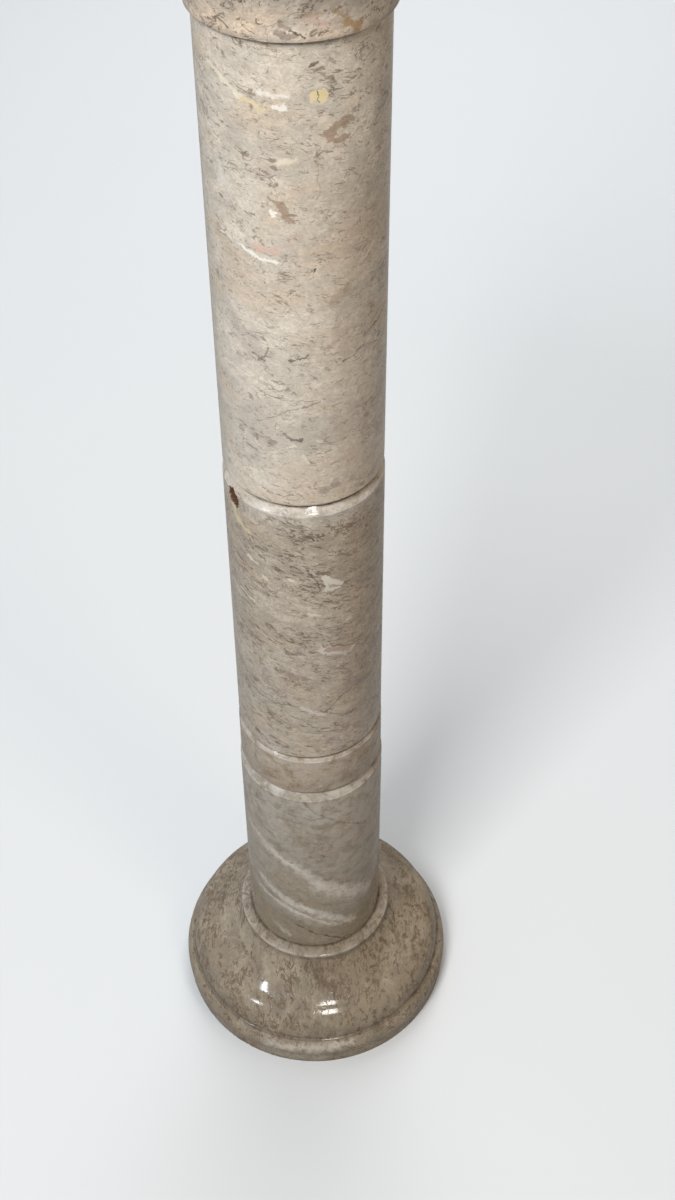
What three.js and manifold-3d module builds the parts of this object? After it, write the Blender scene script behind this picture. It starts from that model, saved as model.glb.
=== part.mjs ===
import * as THREE from 'three';
import { mergeVertices } from 'three/addons/utils/BufferGeometryUtils.js';
import Module from 'manifold-3d';

// A turned marble column: a moulded base, three shaft drums with a narrow ring
// among them, and a flared capital with a flat top.
// Sizes are in millimetres. The axis is Z and the underside stands on z = 0.

// How finely the round forms are cut.
const ROUND_SEGMENTS = 60;
const DOME_STEPS = 8;
const COVE_STEPS = 7;
const EDGE_STEPS = 4;
const VALLEY_STEPS = 3;

// Clear gap in each bed joint between two stacked stones.
const BED_JOINT = 0.3;

// Small easing on every sharp outer edge.
const EDGE_EASE = 0.8;

// Base, from the floor up: rim, sloped band, valley, dome, cove, fillet.
const RIM_RADIUS = 126.2;
const RIM_TAPER = 1.4;
const RIM_SIDE_HEIGHT = 20.2;
const BAND_WIDTH = 5.8;
const BAND_HEIGHT = 10.8;
const BAND_BULGE = 1;
const VALLEY_RADIUS = 2.2;
const DOME_WIDTH = 19.1;
const DOME_HEIGHT = 27.4;
const DOME_FOOT_PULL = 21.7;
const SHOULDER_PULL = 4.7;
const SHOULDER_SLOPE = 31;
const COVE_HEIGHT = 27.9;
const COVE_PULL = 9.6;
const COVE_END_SLOPE = 62;
const FILLET_PROJECTION = 9.7;
const FILLET_UNDERCUT = 1;
const FILLET_HEIGHT = 8;
const FILLET_SLOPE_HEIGHT = 3.3;

// Shaft, from the foot up. Each stone tapers from its foot to its head.
const LOWER_DRUM_HEIGHT = 228.8;
const LOWER_DRUM_FOOT_RADIUS = 60.1;
const LOWER_DRUM_TAPER = 0.3;
const RING_HEIGHT = 48.1;
const RING_FOOT_RADIUS = 58.9;
const RING_TAPER = 0.3;
const MIDDLE_DRUM_HEIGHT = 270;
const MIDDLE_DRUM_FOOT_RADIUS = 58.2;
const MIDDLE_DRUM_TAPER = 1.2;
const UPPER_DRUM_HEIGHT = 333.6;
const UPPER_DRUM_FOOT_RADIUS = 56.4;
const UPPER_DRUM_TAPER = 0.5;

// V grooves that mark the joints of the shaft, lip to lip.
const RING_FOOT_GROOVE_WIDTH = 11.7;
const RING_FOOT_GROOVE_DEPTH = 4.8;
const RING_HEAD_GROOVE_WIDTH = 6.7;
const RING_HEAD_GROOVE_DEPTH = 2.8;
const UPPER_GROOVE_WIDTH = 10.5;
const UPPER_GROOVE_DEPTH = 4.4;

// Capital, from its foot up: neck, flare, fillet, top disc.
const CAPITAL_OVERHANG = 3.8;
const CAPITAL_NECK_HEIGHT = 4;
const FLARE_WIDTH = 34;
const FLARE_HEIGHT = 56;
const CAPITAL_FILLET_STEP = 3;
const CAPITAL_FILLET_HEIGHT = 5;
const DISC_PROJECTION = 11;
const DISC_UNDER_HEIGHT = 7;
const DISC_SIDE_HEIGHT = 17;
const DISC_TOP_ROUND = 5;

// Chip broken out of the upper lip of the middle drum.
const CHIP_ANGLE = THREE.MathUtils.degToRad(209.8);
const CHIP_WIDTH = 12.5;
const CHIP_HEIGHT = 14;
const CHIP_DEPTH = 3.8;
const CHIP_DROP = 5.4;

// Polished marble tones, greyer and darker towards the floor.
const MARBLE_ROUGHNESS = 0.22;
const MARBLE_METALNESS = 0;
const BASE_COLOUR = 0x8f7f6c;
const LOWER_DRUM_COLOUR = 0x938876;
const RING_COLOUR = 0x988a77;
const MIDDLE_DRUM_COLOUR = 0x9c8f7d;
const UPPER_DRUM_COLOUR = 0xaea091;
const CAPITAL_COLOUR = 0xb0a08e;

// Profile points between two angles of an ellipse, both ends included.
function arc(centreRadius, centreHeight, width, height, startDegrees, endDegrees, steps) {
  const points = [];
  for (let i = 0; i <= steps; i += 1) {
    const turn = THREE.MathUtils.degToRad(startDegrees + ((endDegrees - startDegrees) * i) / steps);
    points.push([centreRadius + width * Math.cos(turn), centreHeight + height * Math.sin(turn)]);
  }
  return points;
}

// Profile points on a slightly bowed line between two points, both ends included.
function bowed(start, end, bulge, steps) {
  const run = [end[0] - start[0], end[1] - start[1]];
  const length = Math.hypot(run[0], run[1]);
  const points = [];
  for (let i = 0; i <= steps; i += 1) {
    const share = i / steps;
    const out = 4 * bulge * share * (1 - share);
    points.push([
      start[0] + run[0] * share + (run[1] / length) * out,
      start[1] + run[1] * share - (run[0] / length) * out,
    ]);
  }
  return points;
}

// Profile points on a smooth curve. Each end has its slope in degrees, rising towards the
// axis, and its pull, the length over which the curve keeps to that slope.
function swept(start, end, steps) {
  const handle = (place, sign) => new THREE.Vector2(
    place.at[0] - sign * place.pull * Math.cos(THREE.MathUtils.degToRad(place.slope)),
    place.at[1] + sign * place.pull * Math.sin(THREE.MathUtils.degToRad(place.slope)),
  );
  const curve = new THREE.CubicBezierCurve(
    new THREE.Vector2(...start.at),
    handle(start, 1),
    handle(end, -1),
    new THREE.Vector2(...end.at),
  );
  return curve.getPoints(steps).map((point) => [point.x, point.y]);
}

// Closed solid of revolution about Z from a profile that ends on the axis.
function turned(profile) {
  const points = profile.map(([radius, height]) => new THREE.Vector2(radius, height));
  const geometry = new THREE.LatheGeometry(points, ROUND_SEGMENTS);
  geometry.rotateX(Math.PI / 2);
  return geometry;
}

function stone(name, geometry, colour) {
  const material = new THREE.MeshStandardMaterial({
    color: colour,
    roughness: MARBLE_ROUGHNESS,
    metalness: MARBLE_METALNESS,
  });
  const mesh = new THREE.Mesh(geometry, material);
  mesh.name = name;
  return mesh;
}

// Base: rim with a bowed band, valley, dome that runs on into a cove, and sloped fillet.
function baseHeight() {
  return RIM_SIDE_HEIGHT + BAND_HEIGHT + VALLEY_RADIUS + DOME_HEIGHT + COVE_HEIGHT
    + FILLET_HEIGHT + FILLET_SLOPE_HEIGHT;
}

function baseGeometry() {
  const floorRadius = RIM_RADIUS - RIM_TAPER;
  const bandInner = RIM_RADIUS - BAND_WIDTH;
  const bandTop = RIM_SIDE_HEIGHT + BAND_HEIGHT;
  const domeOuter = bandInner - VALLEY_RADIUS;
  const domeFoot = bandTop + VALLEY_RADIUS;
  const shoulder = [domeOuter - DOME_WIDTH, domeFoot + DOME_HEIGHT];
  const coveTop = shoulder[1] + COVE_HEIGHT;
  const filletOuter = LOWER_DRUM_FOOT_RADIUS + FILLET_PROJECTION;
  const coveInner = filletOuter - FILLET_UNDERCUT;
  const filletTop = coveTop + FILLET_HEIGHT;
  const seat = baseHeight();
  const band = bowed([RIM_RADIUS, RIM_SIDE_HEIGHT], [bandInner, bandTop], BAND_BULGE, EDGE_STEPS);
  const valley = arc(bandInner, domeFoot, VALLEY_RADIUS, VALLEY_RADIUS, 270, 180, VALLEY_STEPS);
  const dome = swept(
    { at: [domeOuter, domeFoot], slope: 90, pull: DOME_FOOT_PULL },
    { at: shoulder, slope: SHOULDER_SLOPE, pull: SHOULDER_PULL },
    DOME_STEPS,
  );
  const cove = swept(
    { at: shoulder, slope: SHOULDER_SLOPE, pull: COVE_PULL },
    { at: [coveInner, coveTop], slope: COVE_END_SLOPE, pull: COVE_PULL },
    COVE_STEPS,
  );
  return turned([
    [0, 0],
    [floorRadius - EDGE_EASE, 0],
    [floorRadius, EDGE_EASE],
    ...band,
    ...valley.slice(1),
    ...dome.slice(1),
    ...cove.slice(1),
    [filletOuter, coveTop + FILLET_UNDERCUT],
    [filletOuter, filletTop - EDGE_EASE],
    [filletOuter - EDGE_EASE, filletTop],
    [LOWER_DRUM_FOOT_RADIUS, seat],
    [0, seat],
  ]);
}

// One end of a shaft stone: the joint face radius and how far the bevel climbs.
function grooveEnd(grooveWidth, grooveDepth, smallerRadius) {
  return { rise: (grooveWidth - BED_JOINT) / 2, jointRadius: smallerRadius - grooveDepth };
}

function plainEnd(radius) {
  return { rise: EDGE_EASE / 2, jointRadius: radius - EDGE_EASE / 2 };
}

// Bevel from the joint face out to the lip, with the lip eased.
function bevel(end, lipRadius, jointHeight, upwards) {
  const ease = Math.min(EDGE_EASE, end.rise) / 2;
  return [
    [end.jointRadius, jointHeight],
    [lipRadius - ease, jointHeight + upwards * (end.rise - ease)],
    [lipRadius, jointHeight + upwards * (end.rise + ease)],
  ];
}

function drumGeometry(foot, height, footRadius, taper, footEnd, headEnd) {
  const head = foot + height;
  return turned([
    [0, foot],
    ...bevel(footEnd, footRadius, foot, 1),
    ...bevel(headEnd, footRadius - taper, head, -1).reverse(),
    [0, head],
  ]);
}

// Capital: short neck, flaring cove, fillet and a rounded top disc.
function capitalGeometry(foot) {
  const neckRadius = UPPER_DRUM_FOOT_RADIUS - UPPER_DRUM_TAPER + CAPITAL_OVERHANG;
  const neckTop = foot + CAPITAL_NECK_HEIGHT;
  const flareOuter = neckRadius + FLARE_WIDTH;
  const flareTop = neckTop + FLARE_HEIGHT;
  const filletOuter = flareOuter + CAPITAL_FILLET_STEP;
  const filletTop = flareTop + CAPITAL_FILLET_HEIGHT;
  const discRadius = filletOuter + DISC_PROJECTION;
  const discFoot = filletTop + DISC_UNDER_HEIGHT;
  const discTop = discFoot + DISC_SIDE_HEIGHT;
  const flare = arc(flareOuter, neckTop, FLARE_WIDTH, FLARE_HEIGHT, 180, 90, COVE_STEPS);
  const underside = arc(filletOuter, discFoot, DISC_PROJECTION, DISC_UNDER_HEIGHT, 270, 360, EDGE_STEPS);
  const topEdge = arc(
    discRadius - DISC_TOP_ROUND,
    discTop,
    DISC_TOP_ROUND,
    DISC_TOP_ROUND,
    0,
    90,
    EDGE_STEPS,
  );
  return turned([
    [0, foot],
    [neckRadius - EDGE_EASE, foot],
    [neckRadius, foot + EDGE_EASE],
    ...flare,
    [filletOuter, flareTop + EDGE_EASE],
    ...underside,
    ...topEdge,
    [0, discTop + DISC_TOP_ROUND],
  ]);
}

// Rough broken hollow, facing outwards at the lip of the drum.
function chipGeometry(lipRadius, lipHeight) {
  const geometry = new THREE.IcosahedronGeometry(1, 1);
  geometry.scale(CHIP_DEPTH, CHIP_WIDTH / 2, CHIP_HEIGHT / 2);
  geometry.translate(lipRadius, 0, lipHeight - CHIP_DROP);
  geometry.rotateZ(CHIP_ANGLE);
  return geometry;
}

// Indexed mesh with shared corners and no collapsed triangles.
function toSolid(wasm, geometry) {
  const bare = geometry.clone();
  bare.deleteAttribute('normal');
  bare.deleteAttribute('uv');
  const merged = mergeVertices(bare);
  const corners = Array.from(merged.index.array);
  const kept = [];
  for (let i = 0; i < corners.length; i += 3) {
    const [a, b, c] = corners.slice(i, i + 3);
    if (a !== b && b !== c && c !== a) {
      kept.push(a, b, c);
    }
  }
  const mesh = new wasm.Mesh({
    numProp: 3,
    vertProperties: new Float32Array(merged.attributes.position.array),
    triVerts: new Uint32Array(kept),
  });
  return new wasm.Manifold(mesh);
}

function fromSolid(solid) {
  const mesh = solid.getMesh();
  const geometry = new THREE.BufferGeometry();
  geometry.setAttribute('position', new THREE.BufferAttribute(mesh.vertProperties, 3));
  geometry.setIndex(new THREE.BufferAttribute(mesh.triVerts, 1));
  const faceted = geometry.toNonIndexed();
  faceted.computeVertexNormals();
  return faceted;
}

function cutAway(wasm, body, tool) {
  return fromSolid(toSolid(wasm, body).subtract(toSolid(wasm, tool)));
}

const wasm = await Module();
wasm.setup();

const lowerDrumFoot = baseHeight() + BED_JOINT;
const lowerDrumHead = lowerDrumFoot + LOWER_DRUM_HEIGHT;
const ringFoot = lowerDrumHead + BED_JOINT;
const ringHead = ringFoot + RING_HEIGHT;
const middleDrumFoot = ringHead + BED_JOINT;
const middleDrumHead = middleDrumFoot + MIDDLE_DRUM_HEIGHT;
const upperDrumFoot = middleDrumHead + BED_JOINT;
const upperDrumHead = upperDrumFoot + UPPER_DRUM_HEIGHT;
const capitalFoot = upperDrumHead + BED_JOINT;

const lowerDrumHeadRadius = LOWER_DRUM_FOOT_RADIUS - LOWER_DRUM_TAPER;
const ringHeadRadius = RING_FOOT_RADIUS - RING_TAPER;
const middleDrumHeadRadius = MIDDLE_DRUM_FOOT_RADIUS - MIDDLE_DRUM_TAPER;
const upperDrumHeadRadius = UPPER_DRUM_FOOT_RADIUS - UPPER_DRUM_TAPER;

const ringFootGroove = grooveEnd(
  RING_FOOT_GROOVE_WIDTH,
  RING_FOOT_GROOVE_DEPTH,
  Math.min(lowerDrumHeadRadius, RING_FOOT_RADIUS),
);
const ringHeadGroove = grooveEnd(
  RING_HEAD_GROOVE_WIDTH,
  RING_HEAD_GROOVE_DEPTH,
  Math.min(ringHeadRadius, MIDDLE_DRUM_FOOT_RADIUS),
);
const upperGroove = grooveEnd(
  UPPER_GROOVE_WIDTH,
  UPPER_GROOVE_DEPTH,
  Math.min(middleDrumHeadRadius, UPPER_DRUM_FOOT_RADIUS),
);

const lowerDrum = drumGeometry(
  lowerDrumFoot,
  LOWER_DRUM_HEIGHT,
  LOWER_DRUM_FOOT_RADIUS,
  LOWER_DRUM_TAPER,
  plainEnd(LOWER_DRUM_FOOT_RADIUS),
  ringFootGroove,
);
const ring = drumGeometry(
  ringFoot,
  RING_HEIGHT,
  RING_FOOT_RADIUS,
  RING_TAPER,
  ringFootGroove,
  ringHeadGroove,
);
const middleDrum = cutAway(
  wasm,
  drumGeometry(
    middleDrumFoot,
    MIDDLE_DRUM_HEIGHT,
    MIDDLE_DRUM_FOOT_RADIUS,
    MIDDLE_DRUM_TAPER,
    ringHeadGroove,
    upperGroove,
  ),
  chipGeometry(middleDrumHeadRadius, middleDrumHead - upperGroove.rise),
);
const upperDrum = drumGeometry(
  upperDrumFoot,
  UPPER_DRUM_HEIGHT,
  UPPER_DRUM_FOOT_RADIUS,
  UPPER_DRUM_TAPER,
  upperGroove,
  plainEnd(upperDrumHeadRadius),
);

const column = new THREE.Group();
column.name = 'marble_column';
column.add(stone('base', baseGeometry(), BASE_COLOUR));
column.add(stone('lower_drum', lowerDrum, LOWER_DRUM_COLOUR));
column.add(stone('shaft_ring', ring, RING_COLOUR));
column.add(stone('middle_drum', middleDrum, MIDDLE_DRUM_COLOUR));
column.add(stone('upper_drum', upperDrum, UPPER_DRUM_COLOUR));
column.add(stone('capital', capitalGeometry(capitalFoot), CAPITAL_COLOUR));

export default column;
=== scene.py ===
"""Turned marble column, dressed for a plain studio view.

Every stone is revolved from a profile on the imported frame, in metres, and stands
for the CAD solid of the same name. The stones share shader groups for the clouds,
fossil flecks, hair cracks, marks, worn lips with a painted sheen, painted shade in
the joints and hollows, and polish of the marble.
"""

import math

import bpy
from bpy.props import FloatProperty, FloatVectorProperty, IntProperty, PointerProperty
from bpy.types import Operator, Panel, PropertyGroup
from mathutils import Matrix, Vector, noise


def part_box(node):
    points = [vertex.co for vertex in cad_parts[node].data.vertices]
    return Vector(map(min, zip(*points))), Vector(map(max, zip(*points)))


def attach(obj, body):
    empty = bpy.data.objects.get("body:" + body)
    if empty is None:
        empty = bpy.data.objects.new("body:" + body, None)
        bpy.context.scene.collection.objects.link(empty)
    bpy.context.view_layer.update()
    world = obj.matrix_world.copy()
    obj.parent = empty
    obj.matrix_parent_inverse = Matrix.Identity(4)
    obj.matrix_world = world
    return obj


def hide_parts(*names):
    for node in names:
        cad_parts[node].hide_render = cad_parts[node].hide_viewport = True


bl_info = {
    "name": "Marble Column",
    "version": (1, 0, 0),
    "blender": (4, 5, 0),
    "location": "3D View > Sidebar > Column",
    "description": "Builds a turned marble column and a plain studio round it",
    "category": "Add Mesh",
}

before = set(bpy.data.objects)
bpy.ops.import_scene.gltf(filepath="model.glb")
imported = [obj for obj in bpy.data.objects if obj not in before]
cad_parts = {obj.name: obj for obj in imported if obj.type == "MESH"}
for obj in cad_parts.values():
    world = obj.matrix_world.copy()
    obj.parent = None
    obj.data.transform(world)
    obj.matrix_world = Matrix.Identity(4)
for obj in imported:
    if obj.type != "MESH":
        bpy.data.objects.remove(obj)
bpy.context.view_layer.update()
BODY = "root"
MM = 0.001

# Roundings and narrow edges of the stones and how far the painted shade reaches out of
# their joints, all too small for anyone to set.
UNDERSIDE_EDGE = 1.2 * MM
FLOOR_ROUND = 1.0 * MM
RIM_ROUND = 2.2 * MM
FILLET_FOOT_ROUND = 0.9 * MM
FILLET_HEAD_ROUND = 1.8 * MM
SEAT_RUN = 2.0 * MM
SEAT_DROP = 0.6 * MM
SEAT_EDGE = 0.4 * MM
FOOT_SHADE_REACH = 0.9 * MM
HEAD_SHADE_REACH = 1.2 * MM
PLAIN_FOOT = 1.8 * MM
PLAIN_HEAD = 2.4 * MM
NECK_ROUND = 0.8 * MM
SHARP_EDGE = math.radians(38)

# Where the middle drum's mesh is made fine enough to hold the chip.
CHIP_REACH = 18 * MM
CHIP_STEP = 0.6 * MM
SHORTEST_CUT = 0.7 * MM
CORE_RADIUS = 30 * MM

# Least radius that is surely on the turned face, and least length and blur of a mark.
FACE_RADIUS = 40 * MM
MARK_LEAST = 0.1 * MM

MARBLE_IOR = 1.5
RELIEF_HEIGHT = 0.4 * MM
MOTTLE_SHADE = 0.52
GRAIN_SHADE = 0.5

# How many times finer the clouds are across the beds of the stone than along them.
CLOUD_BEDDING = 1.5

FLOOR_HALF = 7.0
FLOOR_CELLS = 28
COLUMN_MIDDLE = (0.0, 0.0, 0.6)
DOME_FRONT = (0.0, -0.1, 0.06)
FLOOR_BEHIND = (0.0, 2.3, 0.0)

# Each light's name, place, target, width, height and colour, and whether it shows only
# as a highlight in the polish.
LIGHTS = (
    ("front", (-1.05, -1.95, 2.9), COLUMN_MIDDLE, 1.1, 1.1, (1.0, 0.99, 0.98), False),
    ("side", (1.3, -1.5, 2.4), COLUMN_MIDDLE, 0.6, 0.6, (1.0, 0.86, 0.70), False),
    ("back", (0.3, 2.3, 2.6), FLOOR_BEHIND, 3.0, 1.6, (0.97, 0.98, 1.0), False),
    ("window", (-1.55, -1.15, 1.75), DOME_FRONT, 0.19, 0.42, (0.85, 0.93, 1.0), True),
    ("lamp", (0.31, -1.55, 2.5), DOME_FRONT, 0.42, 0.7, (1.0, 0.97, 0.93), True),
)

CAMERA_PLACE = (0.0, -0.823551, 1.368985)
CAMERA_PITCH = math.radians(46.505)
CAMERA_YAW = math.radians(1.607)
CAMERA_ROLL = math.radians(-0.325)
SENSOR_WIDTH = 36.0

# Marks seen in the stone: colour, azimuth and place of both ends, width, softness
# and strength. Azimuth is in degrees from the front, positive to the right. Place
# is the height in mm, or on the base the distance along its profile from the floor.
BASE_MARKS = (
    ("dark", -8, 108, 14, 103, 11.0, 1.0, 0.35),
    ("dark", -1, 104, 4, 89, 8.0, 1.0, 0.45),
    ("dark", 65, 70, 62, 63, 8.0, 0.7, 0.45),
    ("dark", 133, 63, 120, 55, 6.0, 0.8, 0.5),
    ("dark", -99, 77, -105, 78, 0.9, 0.5, 0.6),
    ("dark", -105, 78, -98, 85, 0.9, 0.5, 0.6),
    ("brown", -37, 19, -27, 12, 11.0, 0.5, 0.6),
    ("pale", -24, 9, 0, 9, 13.0, 1.0, 0.35),
    ("pale", 8, 29, 14, 28, 6.0, 0.8, 0.6),
    ("white", -22, 24, 8, 26, 11.0, 1.0, 0.4),
    ("dark", 9, 89, 10, 64, 1.4, 0.6, 0.6),
    ("dark", 15, 70, 16, 55, 1.4, 0.6, 0.6),
    ("plum", 30, 62, 43, 63, 10.0, 1.0, 0.4),
    ("dark", 94, 63, 82, 54, 8.0, 1.0, 0.35),
    ("plum", 8, 112, 12, 112, 4.0, 1.0, 0.5),
)
LOWER_DRUM_MARKS = (
    ("dark", -62, 296, -38, 310, 1.9, 0.6, 0.9),
    ("dark", -38, 310, -31, 305, 1.9, 0.6, 0.9),
    ("dark", -31, 305, -19, 302, 1.9, 0.6, 0.9),
    ("dark", -19, 302, 7, 298, 1.9, 0.6, 0.9),
    ("dark", -8, 323, -1, 312, 1.7, 0.6, 0.9),
    ("dark", -1, 312, 14, 295, 2.2, 0.6, 0.9),
    ("dark", 14, 295, 48, 265, 1.9, 0.6, 0.9),
    ("white", -67, 248, -52, 246, 11.0, 1.0, 0.35),
    ("white", -52, 246, -38, 239, 11.0, 1.0, 0.55),
    ("white", -38, 239, -14, 225, 11.0, 1.0, 0.55),
    ("white", -14, 225, 5, 201, 12.0, 1.0, 0.5),
    ("white", 5, 201, 27, 181, 14.0, 1.0, 0.5),
    ("white", 27, 181, 54, 159, 13.0, 1.0, 0.45),
    ("pale", 2, 196, 34, 170, 17.0, 1.0, 0.45),
    ("white", -52, 183, -36, 176, 9.0, 1.0, 0.5),
    ("white", -36, 176, -22, 168, 9.0, 1.0, 0.55),
    ("white", -22, 168, -3, 159, 9.0, 1.0, 0.6),
    ("white", -3, 159, 33, 128, 9.0, 1.0, 0.5),
    ("white", -57, 166, -31, 160, 4.0, 1.0, 0.4),
    ("white", -31, 160, -9, 150, 5.0, 1.0, 0.5),
    ("white", -9, 150, 24, 128, 5.0, 1.0, 0.45),
    ("pale", -30, 158, 12, 138, 16.0, 1.0, 0.35),
    ("brown", -34, 168, -13, 157, 1.6, 0.6, 0.7),
    ("brown", -13, 157, 14, 136, 1.4, 0.6, 0.6),
    ("pit", -19, 231, -18, 231, 2.6, 0.3, 1.0),
    ("brown", 9, 228, 10, 222, 3.6, 0.5, 0.7),
    ("dark", -16, 132, 4, 119, 2.2, 0.6, 0.9),
    ("dark", 4, 119, 26, 103, 2.2, 0.6, 0.9),
    ("white", -38, 122, -24, 113, 6.0, 1.0, 0.35),
    ("plum", -14, 125, 2, 116, 7.0, 0.9, 0.4),
    # Broad soft patch on the right side: painted shade, as the light falls from the left.
    ("brown", 34, 320, 30, 250, 34.0, 1.0, 0.2),
)
SHAFT_RING_MARKS = (
    ("brown", -29, 374, -19, 372, 3.4, 0.6, 0.6),
    ("plum", 14, 351, 32, 354, 3.0, 0.9, 0.4),
    ("dark", -44, 348, -26, 345, 1.2, 0.6, 0.5),
)
MIDDLE_DRUM_MARKS = (
    # Broad soft patch on the right side: painted shade, as the light falls from the left.
    ("brown", 38, 620, 36, 400, 40.0, 1.0, 0.32),
    ("amber", -60, 629, -55, 619, 5.0, 0.5, 0.6),
    ("amber", -55, 619, -43, 615, 4.6, 0.5, 0.6),
    ("dark", -37, 631, -31, 630, 1.1, 0.5, 0.6),
    ("dark", -36, 626, -31, 629, 1.1, 0.5, 0.5),
    ("pit", 4, 622, 5, 620, 1.2, 0.4, 0.9),
    ("dark", -2, 626, 4, 621, 1.3, 0.5, 0.6),
    ("pale", 2, 589, 13, 583, 1.8, 0.4, 0.6),
    ("white", 13, 582, 24, 573, 5.4, 0.3, 0.9),
    ("white", 11, 569, 23, 569, 3.0, 0.3, 0.8),
    ("white", 12, 580, 17, 569, 3.8, 0.4, 0.8),
    ("dark", 0, 592, 5, 582, 1.3, 0.5, 0.7),
    ("dark", 5, 582, 11, 569, 1.3, 0.5, 0.7),
    ("cream", -57, 552, -42, 547, 1.0, 0.4, 0.9),
    ("cream", -47, 592, -38, 588, 2.2, 0.5, 0.7),
    ("white", 11, 506, 32, 499, 7.4, 0.14, 0.6),
    ("rose", 14, 506, 30, 501, 4.2, 0.2, 0.9),
    ("dark", 17, 511, 34, 502, 1.1, 0.4, 0.8),
    ("pale", 8, 512, 12, 504, 1.6, 0.3, 0.9),
    ("cream", 1, 548, 7, 544, 3.0, 0.6, 0.6),
    ("cream", 32, 534, 33, 533, 3.4, 0.4, 0.5),
    ("pit", -26, 481, -24, 479, 1.8, 0.5, 0.8),
    ("plum", -19, 481, -3, 475, 6.4, 0.9, 0.75),
    ("pale", -7, 475, -4, 472, 2.0, 0.6, 0.6),
    ("plum", 30, 460, 43, 457, 7.6, 0.9, 0.85),
    ("white", -7, 442, 11, 432, 3.4, 0.5, 0.5),
    ("plum", 12, 398, 18, 402, 5.2, 0.4, 0.8),
    ("plum", 36, 406, 44, 396, 3.4, 0.5, 0.6),
    ("dark", -60, 450, -44, 446, 1.3, 0.6, 0.5),
    ("dark", -44, 446, -30, 442, 1.3, 0.6, 0.6),
    ("dark", -30, 442, -8, 444, 1.1, 0.6, 0.5),
    ("dark", 12, 436, 28, 451, 1.6, 0.6, 0.65),
    ("dark", 28, 451, 43, 456, 1.9, 0.6, 0.6),
    ("dark", -14, 430, -5, 425, 1.4, 0.6, 0.6),
    ("dark", -5, 425, 5, 416, 1.4, 0.6, 0.6),
    ("dark", 21, 641, 30, 642, 1.3, 0.6, 0.6),
    ("dark", 30, 642, 40, 644, 1.3, 0.6, 0.6),
    ("dark", -12, 625, 3, 616, 1.0, 0.6, 0.5),
    ("dark", 3, 616, 21, 605, 1.0, 0.6, 0.5),
    ("cream", -34, 579, -29, 576, 2.0, 0.6, 0.6),
    ("cream", -14, 581, -10, 581, 2.0, 0.6, 0.6),
)
UPPER_DRUM_MARKS = (
    ("cream", -56, 959, -32, 946, 2.0, 0.4, 0.75),
    ("cream", -50, 957, -29, 947, 1.2, 0.4, 0.7),
    ("amber", -31, 946, -18, 941, 2.6, 0.4, 0.6),
    ("chalk", -21, 951, -4, 950, 3.0, 0.6, 0.6),
    ("chalk", -10, 944, -5, 944, 3.0, 0.4, 0.8),
    ("amber", 11, 949, 15, 949, 6.0, 0.12, 0.9),
    ("dark", 13, 952, 14, 946, 0.8, 0.5, 0.8),
    ("brown", 19, 927, 32, 932, 6.5, 0.3, 0.75),
    ("brown", 20, 922, 30, 922, 4.0, 0.4, 0.7),
    ("cream", 14, 935, 15, 935, 4.4, 0.4, 0.5),
    ("brown", -10, 883, -4, 874, 5.0, 0.35, 0.75),
    ("brown", -17, 887, -10, 885, 1.6, 0.5, 0.7),
    ("chalk", -14, 879, -14, 876, 2.6, 0.2, 0.9),
    ("pink", -27, 854, -14, 853, 4.6, 0.3, 0.8),
    ("chalk", -53, 853, -37, 851, 1.8, 0.4, 0.8),
    ("chalk", -37, 851, -25, 847, 2.2, 0.4, 0.9),
    ("chalk", -25, 847, -14, 845, 1.8, 0.4, 0.85),
    ("olive", -58, 852, -40, 851, 2.4, 0.5, 0.5),
    ("pit", 10, 841, 10, 839, 1.1, 0.3, 1.0),
    ("cream", 53, 845, 42, 835, 1.4, 0.5, 0.8),
    ("cream", 46, 842, 39, 834, 1.0, 0.5, 0.7),
    ("cream", 49, 931, 43, 921, 1.8, 0.5, 0.6),
    ("cream", 37, 937, 33, 930, 1.4, 0.5, 0.55),
    ("olive", 12, 924, 12, 886, 0.8, 0.8, 0.5),
    ("dark", 9, 967, 13, 969, 1.6, 0.5, 0.8),
    ("chalk", -52, 901, -49, 888, 9.0, 1.0, 0.45),
    ("pink", -8, 857, 1, 864, 6.0, 0.8, 0.35),
    ("cream", -10, 910, 0, 912, 4.2, 0.6, 0.7),
    # Broad soft patch on the right side: painted shade, as the light falls from the left.
    ("brown", 38, 880, 34, 670, 44.0, 1.0, 0.34),
    ("dark", -31, 776, -23, 772, 1.5, 0.5, 0.75),
    ("dark", -28, 771, -21, 780, 1.4, 0.5, 0.7),
    ("dark", -7, 774, -1, 775, 1.6, 0.5, 0.85),
    ("dark", -1, 775, 4, 778, 1.6, 0.5, 0.8),
    ("olive", 21, 816, 30, 820, 7.0, 0.9, 0.6),
    ("dark", 70, 789, 52, 782, 1.1, 0.5, 0.85),
    ("dark", 60, 791, 51, 787, 0.9, 0.5, 0.6),
    ("dark", 28, 768, 38, 771, 1.1, 0.5, 0.7),
    ("dark", 38, 771, 45, 774, 1.1, 0.5, 0.75),
    ("cream", 30, 768, 37, 771, 1.6, 0.5, 0.5),
    ("cream", -27, 757, -25, 757, 2.4, 0.4, 0.8),
    ("dark", -13, 715, -7, 710, 1.8, 0.5, 0.8),
    ("dark", -7, 710, 0, 711, 1.6, 0.5, 0.8),
    ("cream", -11, 704, -7, 705, 1.8, 0.4, 0.8),
    ("cream", -1, 697, 2, 694, 1.8, 0.4, 0.7),
    ("cream", 10, 709, 12, 708, 2.8, 0.4, 0.6),
    ("dark", 10, 741, -8, 743, 0.8, 0.5, 0.6),
    ("dark", -8, 743, -27, 744, 0.7, 0.5, 0.5),
    ("dark", -31, 721, -11, 734, 0.7, 0.5, 0.6),
    ("dark", -11, 734, 12, 740, 0.8, 0.5, 0.6),
    ("plum", 13, 663, 23, 668, 6.5, 0.8, 0.65),
    ("dark", -26, 661, -15, 660, 0.9, 0.5, 0.6),
    ("dark", -15, 660, -4, 664, 0.8, 0.5, 0.6),
    ("dark", -4, 664, 0, 659, 0.8, 0.5, 0.6),
)
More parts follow.
